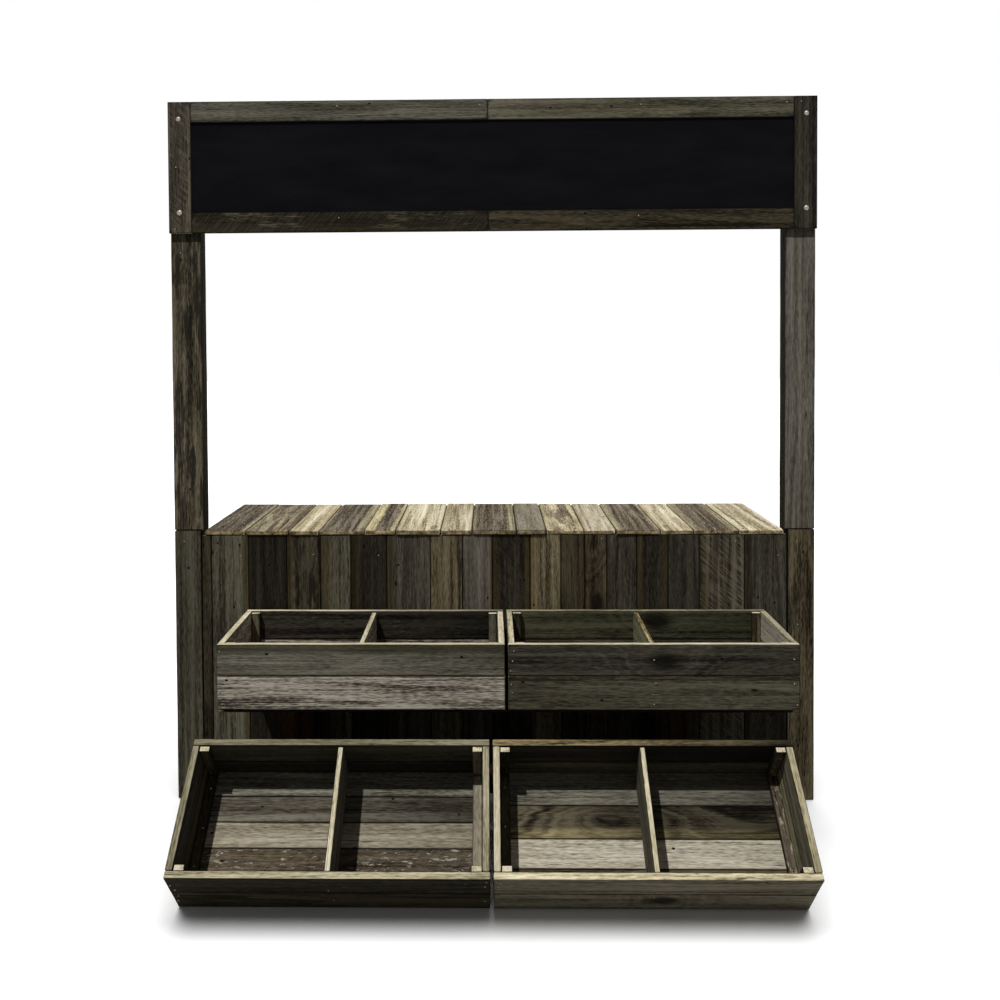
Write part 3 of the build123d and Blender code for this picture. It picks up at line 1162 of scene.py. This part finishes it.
@dataclass(frozen=True)
class Nailing:
    """A pattern of nails on a board's seen face, in shares of its length and its width from the middle.

    share is how many of the nails still show.
    """

    along: tuple[float, ...]
    across: tuple[float, ...]
    share: float

    def drive(self, nails: FixingHeads, boards: Sequence[Board]) -> None:
        """Nail some boards.

        Args:
            nails: Takes the nails.
            boards: The boards.
        """
        for board in boards:
            for along in self.along:
                for across in self.across:
                    nails.strew(board, along, across, self.share)


FRONT = Vector((0, -1, 0))
LEFT = Vector((-1, 0, 0))
RIGHT = Vector((1, 0, 0))
UP = Vector((0, 0, 1))
NAIL_STEEL = SteelFinish("weathered_nail_steel", "a0937a", "5a4f3e", 0.6)
BOLT_STEEL = SteelFinish("zinc_plated_steel", "a39c8c", "6f6858", 0.45)


@dataclass
class Posts:
    """The two posts, each a stud with a lower and an upper facing board."""

    stud_seed: int = 11
    facing_seed: int = 21
    wear: Wear = Wear(corner_mm=1.8, end_mm=1.0)
    nailing: Nailing = Nailing((-0.46, -0.15, 0.15, 0.46), (0.15,), 0.5)
    left: tuple[Dress, Dress] = (plain(Tone.OLIVE, 0.67), plain(Tone.TARRED, 1.15))
    right: tuple[Dress, Dress] = (plain(Tone.UMBER, 1.35), plain(Tone.SILVER, 0.96))

    def build(self, nails: FixingHeads) -> None:
        """Dress studs and facings, lower board first, and nail the facings on.

        Args:
            nails: Takes the nails.
        """
        for i, (side, dresses) in enumerate((("left", self.left), ("right", self.right))):
            dress_node(f"{side}_post", "frame_timber", [plain(Tone.STUD)], self.wear, self.stud_seed + i)
            facings = dress_node(f"{side}_post_facing", "weathered_paling", dresses, self.wear,
                                 self.facing_seed + i, FRONT, lambda b: b.centre.z)
            self.nailing.drive(nails, facings)


@dataclass
class Header:
    """The chalkboard in its frame of palings, bolted to the posts."""

    seed: int = 31
    bolt_radius_mm: float = 7.5
    bolt_rise_mm: float = 4.0
    bolt_seed: int = 5
    bolt_edge_mm: float = 30.0
    bolt_top_mm: float = 48.0
    bolt_bottom_mm: float = 57.0
    bolt_sunk_mm: float = 1.0
    wear: Wear = Wear(end_mm=0.0, butt_mm=0.5, corner_mm=1.0, wander_mm=0.2)
    nailing: Nailing = Nailing((-0.47, 0.0, 0.47), (0.2,), 0.4)
    dresses: dict[str, tuple[Dress, ...]] = field(default_factory=lambda: {
        "header_left_stile": (plain(Tone.CINDER, 2.2),),
        "header_right_stile": (plain(Tone.ASH, 0.65),),
        "header_top_rail": (plain(Tone.LICHEN, 0.78), plain(Tone.OLIVE, 1.13)),
        "header_bottom_rail": (plain(Tone.PEELED, 0.66, (10, 0)), plain(Tone.UMBER, 0.85)),
    })

    def build(self, nails: FixingHeads) -> None:
        """Dress the frame and the sheet, and set the bolts.

        Args:
            nails: Takes the nails.
        """
        boards = []
        for i, (node, dresses) in enumerate(self.dresses.items()):
            boards += dress_node(node, "weathered_paling", dresses, self.wear, self.seed + i, FRONT)
        sheet = frame["nodes"]["chalkboard"]
        sheet.data.materials.clear()
        sheet.data.materials.append(ChalkboardFinish().material())
        LOG.info("%s: painted", sheet.name)
        self.nailing.drive(nails, boards)
        bolts = FixingHeads("header_bolts", HeadShape.DOME, self.bolt_radius_mm, self.bolt_rise_mm,
                            BOLT_STEEL, self.bolt_seed)
        for node, sign in (("header_left_stile", 1), ("header_right_stile", -1)):
            low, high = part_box(node)
            x = (low.x if sign > 0 else high.x) + sign * self.bolt_edge_mm * MM
            for z in (high.z - self.bolt_top_mm * MM, low.z + self.bolt_bottom_mm * MM):
                bolts.mark(Vector((x, low.y + self.bolt_sunk_mm * MM, z)), FRONT)
        bolts.build()


@dataclass
class Counter:
    """The counter: a boarded top, palings on three sides and the frame inside."""

    top: tuple[Dress, ...] = (
        plain(Tone.PATINA, 1.16, (6, 14)), plain(Tone.MOTTLED, 0.95, (8, 0)),
        plain(Tone.CREAM, 1.3, (20, 18)), plain(Tone.PATINA, 1.09, (9, 26)),
        plain(Tone.EDGED, 1.44, (30, 13)), plain(Tone.CREAM, 1.27, (10, 0)),
        plain(Tone.CREAM, 1.1, (18, 9)), plain(Tone.PATINA, 1.14, (6, 22)),
        plain(Tone.DRIFT, 0.96), plain(Tone.MOTTLED, 1.43, (14, 13)),
        plain(Tone.CREAM, 0.94, (8, 0)), plain(Tone.PATINA, 1.47, (24, 7)),
        plain(Tone.CREAM, 1.23), plain(Tone.PATINA, 1.37, (28, 20)), plain(Tone.CREAM, 1.22, (8, 0)),
    )
    front: tuple[Dress, ...] = (
        plain(Tone.UMBER, 0.82), plain(Tone.OLIVE, 1.2, (0, 20)), plain(Tone.CHARCOAL, 0.86, (7, 0)),
        plain(Tone.TARRED, 0.8, (15, 0)), plain(Tone.OLIVE, 1.19, (23, 0)),
        plain(Tone.CHARCOAL, 0.97, (20, 7)), plain(Tone.ASH, 1.4, (26, 0)), plain(Tone.TAN, 1.39),
        plain(Tone.SILVER, 1.1, (0, 8)), plain(Tone.CINDER, 0.81, (20, 20)),
        plain(Tone.TAN, 1.8, (16, 0)), plain(Tone.UMBER, 0.87),
        plain(Tone.UMBER, 1.19, knot=(0.23, 0.05)), plain(Tone.ASH, 1.12, (7, 0)),
        plain(Tone.CHARCOAL, 1.42, (18, 18)), plain(Tone.ASH, 0.78), plain(Tone.SAWN, 0.89, (22, 0)),
        plain(Tone.ASH, 1.01, (20, 0)),
    )
    sides: tuple[Dress, ...] = (
        plain(Tone.OLIVE, 1.0, (20, 0)), plain(Tone.UMBER), plain(Tone.SILVER, 1.0, (0, 12)),
        plain(Tone.CHARCOAL, 1.0, (10, 8)), plain(Tone.TARRED, 1.0, (18, 0)),
    )
    frame_seed: int = 41
    board_seed: int = 51
    wear: Wear = Wear(close_mm=0.78, wander_mm=1.4, chip_mm=2.0)
    top_wear: Wear = Wear(close_mm=0.78, end_mm=3.5, wander_mm=2.4, back_mm=3.0, corner_mm=2.2, chip_mm=5.0)
    frame_wear: Wear = Wear(corner_mm=1.5, end_mm=0.5, groove_mm=0.15)
    top_nailing: Nailing = Nailing((-0.43, 0.43), (-0.28, 0.28), 0.3)
    clad_nailing: Nailing = Nailing((-0.41, 0.42, 0.48), (-0.3, 0.3), 0.06)

    def build(self, nails: FixingHeads) -> None:
        """Dress the boards and the frame, and nail the boards to the rails.

        Args:
            nails: Takes the nails.
        """
        for i, node in enumerate(("counter_front_legs", "counter_back_legs", "counter_front_rails",
                                  "counter_back_rail", "counter_side_rails")):
            dress_node(node, "frame_timber", [plain(Tone.STUD)], self.frame_wear, self.frame_seed + i)
        top = dress_node("counter_top", "counter_paling", self.top, self.top_wear, self.board_seed, UP)
        clad = []
        for i, (side, dresses, facing) in enumerate((
            ("front", self.front, FRONT), ("left", self.sides, LEFT), ("right", self.sides, RIGHT),
        ), start=1):
            clad += dress_node(f"counter_{side}_cladding", "weathered_paling", dresses, self.wear,
                               self.board_seed + i, facing)
        self.top_nailing.drive(nails, top)
        self.clad_nailing.drive(nails, clad)


@dataclass
class Bench:
    """The low bench: shelf boards and end cleats on red-brown legs, bearers and rails."""

    shelf_seed: int = 61
    cleat_seed: int = 62
    frame_seed: int = 63
    wear: Wear = Wear(end_mm=1.0)
    shelf_wear: Wear = Wear(end_mm=1.0, close_mm=0.5)

    def build(self) -> None:
        """Dress every piece of the bench."""
        dress_node("bench_shelf", "weathered_paling", [plain(Tone.UMBER), plain(Tone.ASH)], self.shelf_wear,
                   self.shelf_seed, UP)
        dress_node("bench_cleats", "weathered_paling", [plain(Tone.TAN)], self.wear, self.cleat_seed)
        # The frame's red-brown finish is darker than the wood as painted shade
        for i, node in enumerate(("bench_front_legs", "bench_back_legs", "bench_bearers",
                                  "bench_front_rail", "bench_back_rail")):
            dress_node(node, "bench_timber", [plain(Tone.RED)], self.wear, self.frame_seed + i)


@dataclass
class Crate:
    """One crate: two long sides over two ends, a floor, a divider and battens.

    Dresses go from low to high, front to back and left to right.
    """

    name: str
    seed: int
    front: tuple[Dress, Dress]
    back: tuple[Dress, Dress]
    ends: tuple[Dress, Dress, Dress, Dress]
    floor: tuple[Dress, ...]
    divider: Dress
    battens: tuple[Tone, Tone]
    battens_a_side: int = 3
    wear: Wear = Wear(end_mm=1.2, wander_mm=1.2)
    floor_wear: Wear = Wear(end_mm=1.0, close_mm=0.55)
    batten_wear: Wear = Wear(corner_mm=1.0, end_mm=1.0, wander_mm=0.6)
    front_nailing: Nailing = Nailing((-0.487, 0.0, 0.487), (-0.3, 0.0, 0.3), 0.35)
    batten_nailing: Nailing = Nailing((-0.36, 0.0, 0.36), (0.0,), 0.8)

    def build(self, nails: FixingHeads) -> None:
        """Dress the boards and nail them together.

        Args:
            nails: Takes the nails.
        """
        up = read_boards(f"{self.name}_floor")[0].turned(UP).axes[2]
        deep = Vector((0, up.z, -up.y))
        sides = dress_node(f"{self.name}_sides", "crate_board", (*self.front, *self.back), self.wear,
                           self.seed, -deep, lambda b: (round(b.centre @ deep, 2), b.centre @ up))
        dress_node(f"{self.name}_ends", "crate_board", self.ends, self.wear, self.seed + 1, None,
                   lambda b: (round(b.centre.x, 2), b.centre @ up))
        dress_node(f"{self.name}_floor", "crate_board", self.floor, self.floor_wear, self.seed + 2, up,
                   lambda b: b.centre @ deep)
        dress_node(f"{self.name}_divider", "crate_board", [self.divider], self.wear, self.seed + 3)
        cut = [Dress(tone, tone, Tone.RIM) for tone in self.battens for _ in range(self.battens_a_side)]
        battens = dress_node(f"{self.name}_battens", "crate_batten", cut, self.batten_wear, self.seed + 4, up)
        self.front_nailing.drive(nails, sides[:len(self.front)])
        lying = [board for board in battens if abs(board.axes[0] @ up) < 0.5]
        self.batten_nailing.drive(nails, lying)


class Reach(Enum):
    """Whether a lamp lights only the pieces that it names, or all but those."""

    ONLY = "INCLUDE"
    ALL_BUT = "EXCLUDE"


UPPER_PIECES = ("left_post", "right_post", "header", "chalkboard", "counter_top")
FLOOR = "studio_floor"


@dataclass(frozen=True)
class Lamp:
    """A distant lamp: the way to it, and the pieces that it names, by the start of their names."""

    name: str
    way: tuple[float, float, float]
    reach: Reach
    pieces: tuple[str, ...]
    strength: float = 2.9
    width_deg: float = 1.2


@dataclass
class Studio:
    """Plain pale floor, white surround, three distant lamps and the photograph's camera.

    The camera's place is from the middle of the counter's front, at the floor.
    """

    frame_px: float = 1000.0
    focal_px: float = 1001.5
    axis_px: Pair = (470.2, 365.9)
    camera_mm: tuple[float, float, float] = (-9.1, -2814.1, 1304.7)
    pitch_deg: float = 1.468
    yaw_deg: float = -1.055
    roll_deg: float = 0.331
    sensor_mm: float = 36.0
    # The photograph's shadows fall two ways: from straight in front above, from the left below. The floor has
    # its own wide lamp overhead, so that it keeps only a soft shadow
    lamps: tuple[Lamp, ...] = (
        Lamp("front_lamp", (0.0, -0.5, 0.866), Reach.ONLY, UPPER_PIECES),
        Lamp("left_lamp", (-0.294, -0.347, 0.890), Reach.ALL_BUT, (*UPPER_PIECES, FLOOR)),
        Lamp("floor_lamp", (0.0, 0.0, 1.0), Reach.ONLY, (FLOOR,), 3.9, 60.0),
    )
    sky_strength: float = 0.15
    floor_reach: float = 30.0
    floor_tint: str = "636360"
    white: str = "ffffff"

    def place(self, offset_mm: tuple[float, float, float]) -> Vector:
        """A place in metres, from its offset in front of the counter's cladding."""
        return Vector((0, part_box("counter_front_cladding")[0].y, 0)) + Vector(offset_mm) * MM

    def camera(self) -> None:
        """Set the camera where the photograph was taken from."""
        data = bpy.data.cameras.new("photo_camera")
        data.sensor_width = self.sensor_mm
        data.lens = self.sensor_mm * self.focal_px / self.frame_px
        data.shift_x = 0.5 - self.axis_px[0] / self.frame_px
        data.shift_y = self.axis_px[1] / self.frame_px - 0.5
        pitch, yaw, roll = (math.radians(a) for a in (self.pitch_deg, self.yaw_deg, self.roll_deg))
        ahead = Vector((math.sin(yaw) * math.cos(pitch), math.cos(yaw) * math.cos(pitch), -math.sin(pitch)))
        right = Vector((math.cos(yaw), -math.sin(yaw), 0))
        down = ahead.cross(right)
        across = right * math.cos(roll) + down * math.sin(roll)
        up = right * math.sin(roll) - down * math.cos(roll)
        turn = Matrix((across, up, -ahead)).transposed()
        camera = bpy.data.objects.new("photo_camera", data)
        camera.matrix_world = Matrix.Translation(self.place(self.camera_mm)) @ turn.to_4x4()
        bpy.context.scene.collection.objects.link(camera)
        bpy.context.scene.camera = camera

    def hang(self, lamp: Lamp) -> None:
        """Set a distant lamp and link it to the pieces that it names.

        Args:
            lamp: The lamp.
        """
        data = bpy.data.lights.new(lamp.name, "SUN")
        data.energy = lamp.strength
        data.angle = math.radians(lamp.width_deg)
        placed = bpy.data.objects.new(lamp.name, data)
        placed.rotation_euler = Vector(lamp.way).to_track_quat("Z", "Y").to_euler()
        named = bpy.data.collections.new(f"{lamp.name}_pieces")
        for piece in bpy.context.scene.objects:
            if piece.name.startswith(lamp.pieces):
                named.objects.link(piece)
        for link in named.collection_objects:
            link.light_linking.link_state = lamp.reach.value
        placed.light_linking.receiver_collection = named
        bpy.context.scene.collection.objects.link(placed)

    def seen_ray(self, add: Adder) -> Node:
        """One where a ray comes from the camera, straight, off metal or through glass.

        Args:
            add: Adds a node to the world or the floor.

        Returns:
            A node that gives 1 for such rays.
        """
        rays = add("ShaderNodeLightPath").outputs
        seen: Node | Socket = rays["Is Camera Ray"]
        for kind in ("Is Glossy Ray", "Is Transmission Ray"):
            seen = add("ShaderNodeMath", {0: seen, 1: rays[kind]}, operation="MAXIMUM")
        return seen

    def surround(self) -> None:
        """White to the camera and in reflections, a soft dim sky to everything else."""
        world = bpy.data.worlds.new("white_studio")
        bpy.context.scene.world = world
        world.use_nodes = True
        world.node_tree.nodes.clear()
        add = partial(add_node, world.node_tree)
        strength = add("ShaderNodeMapRange", {
            "Value": self.seen_ray(add), "To Min": self.sky_strength, "To Max": 1.0,
        })
        sky = add("ShaderNodeBackground", {"Color": linear(self.white), "Strength": strength})
        add("ShaderNodeOutputWorld", {"Surface": sky})

    def floor(self) -> None:
        """Lay a floor that shows white, keeps the stall's shadow and throws back only a little light."""
        reach = self.floor_reach
        mesh = bpy.data.meshes.new(FLOOR)
        mesh.from_pydata([(-reach, -reach, 0), (reach, -reach, 0), (reach, reach, 0), (-reach, reach, 0)],
                         [], [(0, 1, 2, 3)])
        made, add = empty_material("white_studio_floor")
        colour = add("ShaderNodeMix", {
            0: self.seen_ray(add), 6: linear(self.floor_tint), 7: linear(self.white),
        }, data_type="RGBA").outputs[2]
        add("ShaderNodeOutputMaterial", {"Surface": add("ShaderNodeBsdfDiffuse", {"Color": colour})})
        mesh.materials.append(made)
        floor = bpy.data.objects.new(FLOOR, mesh)
        bpy.context.scene.collection.objects.link(floor)

    def build(self) -> None:
        """Set up camera, light and surround."""
        bpy.context.scene.view_settings.view_transform = "Standard"
        self.camera()
        self.surround()
        self.floor()
        for lamp in self.lamps:
            self.hang(lamp)


def crates() -> list[Crate]:
    """The four crates with the timbers that each was made of. On a few boards the shade is also painted
    light.

    Returns:
        Upper left, upper right, lower left and lower right crate.
    """
    worn = Tone.WORN
    return [
        Crate(
            "upper_left_crate", 101,
            front=(rimmed(Tone.PALE, shade=1.16), rimmed(Tone.LICHEN, shade=1.1, strips_mm=(0, 20))),
            back=(rimmed(Tone.PALE, shade=0.97), rimmed(Tone.SCRATCHED, shade=0.78, fade=-0.62)),
            ends=(rimmed(Tone.PALE, shade=1.1), rimmed(Tone.PALE, shade=1.1),
                  rimmed(Tone.OLIVE), rimmed(Tone.OLIVE)),
            floor=(plain(Tone.PALE),),
            divider=rimmed(Tone.PALE),
            battens=(Tone.TAN, Tone.OLIVE),
        ),
        Crate(
            "upper_right_crate", 111,
            front=(rimmed(Tone.OLIVE, shade=0.97), rimmed(Tone.ASH, knot=(0.04, -0.05))),
            back=(rimmed(Tone.ASH, worn), rimmed(Tone.MOSS, worn, 0.75, knot=(0.08, 0.1), fade=-0.3)),
            ends=(rimmed(Tone.OLIVE), rimmed(Tone.OLIVE),
                  # The right end's boards: a pale timber, made paler still as painted light where the lamps
                  # leave the inner face dim
                  rimmed(Tone.BLEACHED, worn, 0.95), rimmed(Tone.BLEACHED, worn, 0.95)),
            floor=(plain(Tone.DRIFT),),
            divider=rimmed(Tone.MOSS, Tone.END, 2.0),
            battens=(Tone.UMBER, Tone.TAN),
        ),
        Crate(
            "lower_left_crate", 121,
            # The front faces down and gets little light: both boards' shades are raised above their timbers'
            # as painted light
            front=(rimmed(Tone.FIGURED, worn, 0.75), rimmed(Tone.SCRATCHED, worn, 1.15)),
            back=(rimmed(Tone.CHARCOAL, worn), rimmed(Tone.OLIVE, worn, 0.55)),
            ends=(rimmed(Tone.UMBER, worn), rimmed(Tone.ASH, worn, 0.75),
                  rimmed(Tone.OLIVE, worn), rimmed(Tone.OLIVE, worn, 0.9)),
            floor=(plain(Tone.FLECKED, 1.2, fade=-0.1), plain(Tone.DRIFT, 1.07, fade=-0.13),
                   plain(Tone.ASH, 1.3, fade=-0.5), plain(Tone.LICHEN)),
            divider=rimmed(Tone.OLIVE),
            battens=(Tone.UMBER, Tone.DRIFT),
        ),
        Crate(
            "lower_right_crate", 131,
            # A pale timber; its shade is raised further as painted light, since the front faces down and gets
            # little light
            front=(rimmed(Tone.DRIFT, worn, 1.85, knot=(0.03, 0.1)), rimmed(Tone.DRIFT, worn, 1.7)),
            back=(rimmed(Tone.ASH), rimmed(Tone.CHARCOAL, Tone.END, 0.6, fade=-0.85)),
            ends=(rimmed(Tone.UMBER), rimmed(Tone.ASH, shade=0.85),
                  # The right end's lower board has its shade raised as painted light, where the lamps leave
                  # its face dim
                  rimmed(Tone.MOSS, shade=2.5), rimmed(Tone.OLIVE, worn, 1.18)),
            floor=(plain(Tone.UMBER), plain(Tone.BLEACHED, 1.15, fade=-0.17),
                   plain(Tone.FIGURED, 0.5, (22, 0), (-0.11, 0.1), -0.6),
                   plain(Tone.LICHEN, 0.73, fade=-0.38)),
            divider=rimmed(Tone.OLIVE),
            battens=(Tone.UMBER, Tone.FLECKED),
        ),
    ]


def main() -> None:
    """Build the stall piece by piece, then the studio."""
    logging.basicConfig(level=logging.INFO, format="%(name)s %(message)s")
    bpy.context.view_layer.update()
    nails = FixingHeads("nail_heads", HeadShape.FLAT, radius_mm=2.3, rise_mm=1.4, finish=NAIL_STEEL, seed=7)
    Posts().build(nails)
    Header().build(nails)
    Counter().build(nails)
    Bench().build()
    for crate in crates():
        crate.build(nails)
    nails.build()
    Studio().build()


if __name__ == "__main__":
    main()
